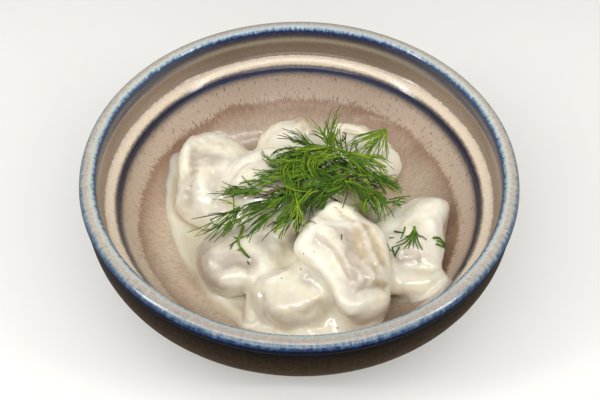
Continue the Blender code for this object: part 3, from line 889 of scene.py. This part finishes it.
dill = {
    "seed": 7,
    "points": 7,            # along each needle
    "radius": 0.29,
    "lift": 0.5,            # least height of a needle's middle over the food
    # colours from the darkest shade, 0, to the lightest, 1
    "greens": [(0, 96, 84, 50), (0.14, 60, 60, 30), (0.2, 36, 50, 10), (0.4, 58, 92, 16), (0.6, 88, 124, 30),
               (0.8, 122, 148, 28), (1, 152, 172, 54)],
    # stem start and end, needles, their length, spread in degrees, sideways bow, shade from 0 to 1
    "fronds": [
        ((-10, -10, 46), (-28, -14, 41), 8, 13, 13, 0.05, 0.45),
        ((-10, -13, 46), (-26, -17, 41), 7, 13, 10, -0.05, 0.4),
        ((-12, -7, 47), (-25, -4, 44), 7, 11, 22, 0.1, 0.45),
        ((-5, 0, 48), (-18, 0, 46), 8, 11, 18, -0.1, 0.5),
        ((3, 6, 50), (-9, 9, 48), 9, 12, 18, 0.1, 0.5),
        ((4, 2, 50), (-9, 3, 48), 9, 11, 20, 0, 0.35),
        ((13, 13, 49), (0, 20, 47), 10, 12, 16, 0.1, 0.6),
        ((10, 10, 50), (-4, 14, 48), 10, 12, 18, 0.1, 0.5),
        ((13, 8, 49), (13, 27, 46), 13, 13, 12, 0, 0.6),
        ((16, 8, 49), (18, 24, 46), 9, 10, 18, -0.1, 0.45),
        ((20, 6, 48), (24, 18, 47), 7, 9, 26, -0.1, 0.5),
        ((24, 2, 48), (35, 2, 46), 13, 8, 38, 0, 0.85),
        ((32, 1, 47), (38, 0, 45), 4, 8, 22, -0.4, 0.6),
        ((28, -2, 47), (33, -9, 44), 8, 9, 28, 0.1, 0.5),
        ((34, -9, 43), (41, -6, 42), 4, 5, 24, 0.2, 0.35),
        ((27, -5, 47), (27, -11, 46), 6, 7, 28, 0, 0.5),
        ((0, -10, 48), (-12, -18, 44), 9, 12, 13, -0.1, 0.5),
        ((2, -12, 48), (-7, -19, 44), 7, 10, 18, -0.1, 0.45),
        ((1, -12, 47), (-1, -20, 44), 6, 7, 24, 0, 0.25),
        ((20, 9, 53), (-2, 2, 52), 22, 14, 24, 0.3, 0.6),
        ((16, 12, 52), (32, 1, 49), 22, 13, 14, 0.05, 0.35),
        ((20, 0, 52), (-2, -9, 50), 20, 13, 18, -0.2, 0.45),
        ((18, -4, 51), (30, -6, 48), 15, 10, 24, 0.1, 0.5),
        ((-1, 10, 51), (0, -16, 49), 17, 12, 12, 0.1, 0.65),
        ((14, -4, 51), (-9, -14, 48), 20, 13, 13, 0.1, 0.45),
        ((8, 16, 50), (-6, 10, 49), 10, 12, 20, 0.1, 0.45),
        ((17, 3, 51), (-1, -3, 50), 17, 13, 26, 0.3, 0.4),
        ((14, -3, 51), (2, 7, 51), 13, 12, 30, -0.3, 0.5),
        # the next four fronds lie low in the heap with dark shades: painted shade inside the heap
        ((18, 8, 47), (0, 4, 46), 25, 12, 50, 0.2, 0.08),
        ((8, -2, 47), (28, -1, 45), 25, 12, 50, -0.2, 0.06),
        ((6, -4, 46), (-12, -10, 44), 22, 12, 36, 0.1, 0.1),
        ((8, 12, 47), (22, 9, 46), 17, 10, 45, 0.1, 0.2),
        ((22, -2, 50), (12, -7, 49), 15, 8, 30, 0.1, 0.45),
        ((21, 6, 49), (31, 15, 45), 8, 7, 30, 0.1, 0.5),
        ((14, -3, 50), (6, -11, 48), 15, 9, 26, -0.1, 0.4),
        ((6, -2, 50), (2, -13, 48), 12, 9, 22, 0.1, 0.35)],
    # threads lying in arcs: the middle, least and most radius, from and to these degrees, how many, shade
    "swirls": [
        ((11, 1, 51.5), 4.5, 12.5, 70, 170, 46, 0.5), ((13, 1, 51), 3, 8, 150, 260, 30, 0.3),
        ((12, -2, 50), 5, 10, 200, 300, 26, 0.42), ((2, -2, 50), 6, 12, 100, 210, 24, 0.45)],
    # threads fanning out from one root: the shade, the root, the tips
    "fans": [
        (0.35, (-24, -13, 43), (-44, -12, 35), (-45, -18, 34), (-41, -20, 34), (-38, -21, 33),
         (-36, -21, 33), (-32, -18, 32), (-34, -23, 34)),
        (0.7, (-20, -13, 44), (-25, -15, 33)),
        (0.8, (-26, -12, 43), (-33, 5, 36), (-36, -2, 36)),
        (0.35, (-17, -6, 45), (-38, 1, 36), (-35, 2, 36), (-33, 3, 36), (-33, 7, 37), (-24, 5, 42)),
        (0.4, (-10, -3, 47), (-19, 6, 44), (-23, 2, 42)),
        (0.4, (-2, 4, 49), (-20, 8, 44), (-17, 6, 44), (-16, 13, 45), (-14, 13, 45), (-10, 18, 44),
         (-7, 19, 43)),
        (0.35, (-10, -15, 45), (-20, -22, 33), (-21, -20, 33), (-22, -17, 33)),
        (0.25, (0, -16, 46), (-15, -21, 33), (-7, -25, 39), (-6, -23, 39), (-13, -14, 32), (-1, -24, 42)),
        (0.35, (4, 17, 49), (-10, 27, 45), (-10, 25, 45), (-8, 31, 45), (-4, 29, 46), (-2, 30, 46)),
        (0.3, (11, 20, 48), (4, 37, 46), (5, 29, 46), (4, 27, 46)),
        (0.5, (13, 14, 49), (14, 43, 46), (18, 45, 46), (12, 37, 46), (18, 40, 46), (19, 34, 46),
         (17, 36, 46), (11, 32, 46), (15, 38, 46)),
        (0.35, (20, 10, 48), (16, 25, 47), (20, 28, 46), (17, 30, 46), (24, 26, 46)),
        (0.6, (37, 31, 45), (23, 26, 43), (21, 21, 45), (22, 17, 45), (22, 12, 43), (24, 9, 43),
         (30, 17, 41), (32, 18, 41), (37, 18, 40), (23, 14, 45), (27, 20, 44)),
        (0.55, (37, 31, 45), (20, 24, 43), (15, 18, 44), (21, 11, 44), (27, 11, 43), (34, 19, 40),
         (38, 19, 39)),
        (0.45, (24, 12, 48), (36, 12, 43), (37, 9, 43), (36, 6, 43), (33, 3, 43), (30, 1, 44),
         (27, -2, 45), (24, -4, 46)),
        (0.4, (14, 6, 49), (26, 2, 47), (25, -2, 47), (22, -5, 46), (18, -8, 46), (14, -8, 47)),
        (0.4, (20, -2, 49), (31, -14, 42), (28, -15, 42), (25, -15, 44), (22, -15, 45), (31, -9, 44),
         (17, -14, 46)),
        (0.6, (28, 14, 47), (39, 14, 42), (40, 10, 42), (38, 5, 42), (35, 2, 42), (31, 20, 43)),
        (0.65, (34, 2, 45), (40, 5, 45), (43, -1, 42), (42, -3, 42), (41, -4, 42), (36, -10, 42),
         (31, 3, 47)),
        (0.5, (37, -6, 42), (46, -2, 40), (42, -7, 40)),
        (0.5, (31, -5, 45), (36, -14, 42), (34, -13, 42), (31, -18, 42), (26, -16, 45), (35, -9, 42),
         (21, -12, 45))],
    # thick stems: radius, shade, points
    "stems": [
        (0.95, 0.75, (19, 14, 47.5), (25, 13.5, 47.5), (31, 11, 46.5), (36, 8.5, 45.5)),
        (0.9, -0.3, (-13, -9, 48), (-8, -7, 49), (-2, -6, 49.5)),
        (0.8, -0.2, (24, -9.5, 47), (28, -9, 47), (31, -6, 47))],
    # single threads lying on the food: three points, the height over it, the shade
    "threads": [
        ((-37.5, -5.5), (-35.5, -10), (-29.5, -11.5), 0.4, 0.2),
        ((1.5, -18), (4, -20.5), (6.5, -23.5), 0.5, 0.1), ((16.3, -28), (16.4, -29.5), (16.2, -31), 0.2, 0.1),
        ((36.5, -19), (37.6, -18.6), (38.7, -18.6), 0.2, 0.05),
        ((35, -25.4), (36.6, -25), (38.6, -24.8), 0.2, 0.2), ((9.2, 31), (9.4, 32.5), (9, 34), 0.6, 0.9)],
    # loose bits, as threads lying on the food: radius, shade, points
    "bits": {
        "dill_bit_fan": [
            (0.34, 0.25, (46.5, -17), (44, -20), (39, -22)),
            (0.38, 0.3, (46.5, -17), (43, -22), (37.5, -23.5)),
            (0.34, 0.3, (40.5, -23), (39, -25.5), (38.5, -27.5)), (0.3, 0.2, (37.5, -23.5), (38.5, -27)),
            (0.36, 0.35, (46.5, -17), (44.5, -22), (42, -24.5)),
            (0.4, 0.5, (46.5, -17), (45, -22), (43.5, -25)), (0.3, 0.3, (46.5, -17), (46, -22), (45.5, -25)),
            (0.36, 0.4, (46.5, -17), (46.5, -21.5), (47.5, -25.5)),
            (0.36, 0.3, (46.5, -17), (47.5, -21.5), (49, -26)),
            (0.34, 0.35, (46.5, -17), (48, -20), (49.5, -20.5), (51, -22)),
            (0.3, 0.25, (46.5, -17), (44.5, -19.5), (42.5, -19.5)), (0.6, 0.65, (46.5, -16), (46.5, -19)),
            (0.42, 0.2, (39, -15.5), (40.5, -16.5), (42, -17.5)),
            (0.36, 0.45, (43, -15), (42.5, -17), (41, -20))],
        "dill_bit_edge": [
            (0.5, 0.4, (53.5, -21.5), (56, -21.2), (57.5, -22.5), (58.8, -23.5)),
            (0.45, 0.45, (54.5, -24), (56.5, -24.5), (58.8, -24.3)),
            (0.4, 0.6, (55, -22.4), (57, -23.2), (58.6, -23.9))],
        "dill_bit_fork": [
            (0.7, 0.66, (-23, -13), (-23.5, -17), (-24.5, -20), (-23.5, -23.5)),
            (0.65, 0.4, (-23.5, -23.5), (-21.5, -25.5), (-19.5, -27)),
            (0.34, 0.3, (-24.5, -20), (-26.5, -21.5), (-28, -23)), (0.3, 0.3, (-26.5, -21.5), (-27.5, -24.5)),
            (0.32, 0.25, (-24.5, -19.5), (-26.5, -18.5)),
            (0.34, 0.45, (-24.5, -19.5), (-23, -18.5), (-20.5, -17)), (0.34, 0.6, (-23, -24), (-25, -24.5)),
            (0.3, 0.3, (-20.5, -28), (-19.5, -29.5))],
    },
}


def foodHeight(x, y):
    # top of the cream, or of the bowl beside it
    hit = coatSkin.ray_cast(Vector((mm(x), mm(y), 0.2)), Vector((0, 0, -1)))[0]
    return hit.z * 1000 if hit else bowlHeight(math.hypot(x, y))


# how far along a needle each of its points is
knotShares = [index / (dill["points"] - 1) for index in range(dill["points"])]


def bentNeedle(start, heading, length, bend, droop):
    # points of one needle, curving sideways and down as it goes
    count = dill["points"]
    points = [Vector(start)]
    across = heading.cross(Vector((0, 0, 1))).normalized()
    for _ in range(1, count):
        heading = (heading + across * bend / count + Vector((0, 0, -droop / count))).normalized()
        points.append(points[-1] + heading * length / (count - 1))
    return points


def forkedNeedle(points, knot, turn, length, bend, droop):
    # a needle that leaves another one at a knot
    heading = Matrix.Rotation(turn, 3, "Z") @ (points[knot] - points[knot - 1]).normalized()
    return bentNeedle(points[knot], heading, length, bend, droop)


def frondNeedles(rng, start, end, needles, length, spread, bow, shade):
    # a thin stem with needles off both sides, curling forward and all swept one way, and forking
    # a needle is its points, its shade and its thickness as a share of the radius
    start, end = Vector(start), Vector(end)
    run = end - start
    across = run.cross(Vector((0, 0, 1))).normalized()
    sweep = bow * 2.5 + rng.uniform(-0.5, 0.5)
    made = []
    for index in range(needles):
        along = 0.03 + 0.97 * (index + rng.random()) / needles
        side = 1 if index % 2 else -1
        root = start + run * along + across * (bow * run.length * math.sin(along * math.pi))
        root += Vector((rng.gauss(0, 0.6), rng.gauss(0, 0.6), rng.gauss(0, 1)))
        turn = side * math.radians(spread) * rng.uniform(0.5, 1.9)
        heading = Matrix.Rotation(turn, 3, "Z") @ run.normalized()
        heading.z += rng.uniform(-0.2, 0.25)
        reach = length * rng.uniform(0.5, 1.15)
        light = shade + rng.gauss(0, 0.17)
        bend = turn * 1.2 + sweep + rng.gauss(0, 0.35)
        points = bentNeedle(root, heading.normalized(), reach, bend, rng.uniform(0.1, 1.3))
        made.append((points, light, 1))
        side = rng.choice((-1, 1))
        for knot in rng.sample((1, 2, 3, 4), rng.choice((1, 2, 2, 3))):
            side = -side
            turn = side * math.radians(rng.uniform(14, 34))
            left = reach * (1 - knot / 8) * rng.uniform(0.45, 0.8)
            forked = forkedNeedle(points, knot, turn, left, turn * 0.9 + bend * 0.6, rng.uniform(0, 0.9))
            made.append((forked, light + rng.gauss(0, 0.07), 0.82))
    made.append(([start.lerp(end, t / 6) for t in range(7)], shade, 1.4))
    return made


def swirlNeedles(rng, middle, inner, outer, low, high, count, shade):
    # threads lying round in arcs
    made = []
    for _ in range(count):
        radius = rng.uniform(inner, outer)
        span = math.radians(rng.uniform(45, 95))
        turn = math.radians(rng.uniform(low, high))
        up = rng.gauss(0, 0.9)
        points = []
        for t in knotShares:
            reach, angle = radius * (1 - 0.22 * t), turn + span * t
            height = up + 1.6 * math.sin(t * math.pi) - 1.5 * t
            points.append(Vector(middle) + Vector((math.cos(angle) * reach, math.sin(angle) * reach, height)))
        made.append((points, shade + rng.gauss(0, 0.17), 1))
    return made


def fanNeedles(rng, root, tips, shade):
    # long single threads from about one place, each bent the same way
    made = []
    side = rng.choice((-1, 1))
    for tip in tips:
        tip = Vector(tip)
        near = Vector(root) + Vector((rng.gauss(0, 0.7), rng.gauss(0, 0.7), rng.gauss(0, 0.4)))
        run = tip - near
        across = run.cross(Vector((0, 0, 1))).normalized() * run.length * side * rng.uniform(0.02, 0.2)
        middle = near.lerp(tip, 0.5) + across + Vector((0, 0, 1.2))
        points = [near.lerp(middle, t).lerp(middle.lerp(tip, t), t) for t in knotShares]
        light = shade + rng.gauss(0, 0.14)
        made.append((points, light, 1))
        for knot in rng.sample((1, 2, 3), 2 if run.length > 9 else 1):
            turn = rng.choice((-1, 1)) * math.radians(rng.uniform(12, 26))
            length = run.length * rng.uniform(0.25, 0.5)
            made.append((forkedNeedle(points, knot, turn, length, turn, rng.uniform(0.1, 0.6)), light, 0.8))
    return made


def lyingThread(places, over):
    first, middle, last = [Vector((x, y, 0)) for x, y in places]
    points = []
    for t in knotShares:
        place = first * (1 - t) ** 2 + middle * 2 * t * (1 - t) + last * t * t
        place.z = foodHeight(place.x, place.y) + over
        points.append(place)
    return points


def looseNeedle(path, over):
    # follows the food, but never steps down by more than half a millimetre
    points = []
    for x, y in throughPoints(path, 4):
        height = foodHeight(x, y) + over
        if points:
            height = max(height, points[-1].z - 0.5)
        points.append(Vector((x, y, height)))
    return points


def dillPiece(name, needles, material, replaced):
    # round tapered needles clear of the food; each point keeps its needle's shade, lighter towards the root
    curve = roundCurve(name, 1)
    tree = KDTree(sum(len(points) for points, _, _ in needles))
    shades = []
    for points, shade, thick in needles:
        spline = curve.splines.new("POLY")
        spline.points.add(len(points) - 1)
        for index, (x, y, z) in enumerate(points):
            height = max(z, foodHeight(x, y) + dill["lift"] * thick)
            taper = 1 - 0.5 * (index / (len(points) - 1)) ** 1.5
            spline.points[index].co = (mm(x), mm(y), mm(height), 1)
            spline.points[index].radius = dill["radius"] * thick * taper
            tree.insert((x, y, height), len(shades))
            shades.append(shade - 0.1 * (index / len(points)) ** 2)
    tree.balance()
    mesh = finishedMesh(looseObject(name, curve))
    setAttribute(mesh, "shade", [shades[tree.find(point)[1]] for point in meshPoints(mesh)])
    addPiece(name, mesh, material, replaced)


def makeDill(material):
    rng = random.Random(dill["seed"])
    needles = []
    for frond in dill["fronds"]:
        needles += frondNeedles(rng, *frond)
    for swirl in dill["swirls"]:
        needles += swirlNeedles(rng, *swirl)
    for shade, root, *tips in dill["fans"]:
        needles += fanNeedles(rng, root, tips, shade)
    for radius, shade, *path in dill["stems"]:
        needles.append(([Vector(point) for point in throughPoints(path, 4)], shade, radius / dill["radius"]))
    for *places, over, shade in dill["threads"]:
        needles.append((lyingThread(places, over), shade, 0.75))
    dillPiece("dillHeap", needles, material, "dill")
    for name, bit in dill["bits"].items():
        needles = []
        for radius, shade, *path in bit:
            over = rng.uniform(0.3, 0.7)
            needles.append((looseNeedle(path, over), shade, radius / dill["radius"]))
        dillPiece(name.replace("dill_bit_", "dillBit_"), needles, material, name)


def dillMaterial():
    look = Look("dillNeedles")
    fine = look.noise(500)
    shade = look.attribute("shade") + fine.centred(0.5)
    color = shade.scaled(0.8, 0.2).ramp([(at, srgb(*color)) for at, *color in dill["greens"]])
    return look.finish({"Base Color": color, "Roughness": 0.5, "Specular IOR Level": 0.3, "IOR": 1.4},
                       (fine, 0.2, 0.0002))


makeCamera()
makeStudio()
print("camera and studio ready")
addPiece("glazedBowl", makeBowlMesh(), glazeMaterial(), "bowl")
graph = bpy.context.evaluated_depsgraph_get()
skins = {name: BVHTree.FromObject(nodes[name], graph) for name in pelmeni}
plump = {name: plumpPelmen(name) for name in pelmeni}
print("pelmeni shaped")
doughLook = doughMaterial()
for name, mesh in plump.items():
    doughPiece(name, mesh, doughLook)
coat = makeCoat(plump, creamMaterial())
coatSkin = meshSkin(coat.data)
makeDill(dillMaterial())
print("dill laid")
